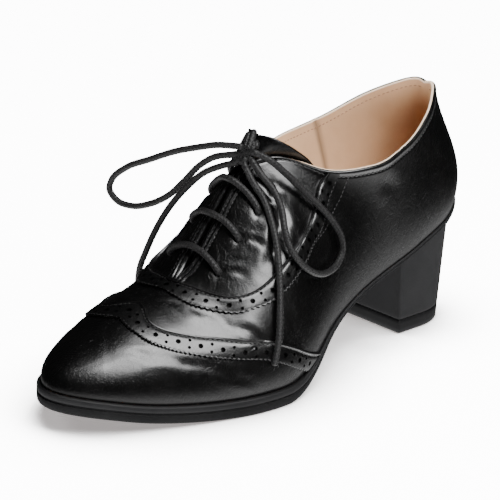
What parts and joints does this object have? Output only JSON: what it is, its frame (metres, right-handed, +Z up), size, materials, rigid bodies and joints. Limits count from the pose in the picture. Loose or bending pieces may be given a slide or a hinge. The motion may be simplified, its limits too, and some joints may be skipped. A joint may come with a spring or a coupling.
{
  "type": "heeled oxford shoe",
  "caption": "Left heeled oxford in black leather, with brogued wing and facing bands, a round lace tied in a bow and a block heel.",
  "frame": {"origin": "bottom centre of the shoe's box, laces in the air left out, on the floor it stands on", "axes": "+Z up, the toe towards -Y and the heel towards +Y, +X to the outer (lateral) side of the foot"},
  "size_m": [0.1126, 0.244, 0.1113],
  "materials": {
    "upper_leather": "glossy black, lightly grained",
    "band_leather": "glossy black, punched and stitched",
    "tongue_leather": "glossy black",
    "lining": "matt tan",
    "sole": "satin black",
    "heel": "satin black, covered",
    "top_lift": "matt black",
    "lace": "round waxed black cord"
  },
  "bodies": {
    "root": {"upper": "upper_leather", "wing_band": "band_leather", "facing_band": "band_leather", "tongue": "tongue_leather", "insole": "lining", "outsole": "sole", "heel_block": "heel", "top_lift": "top_lift", "lace_bar_1": "lace", "lace_bar_2": "lace", "lace_bar_3": "lace", "lace_knot": "lace", "lace_loop_lateral": "lace", "lace_loop_medial": "lace", "lace_end_lateral": "lace", "lace_end_medial": "lace"}
  },
  "joints": []
}
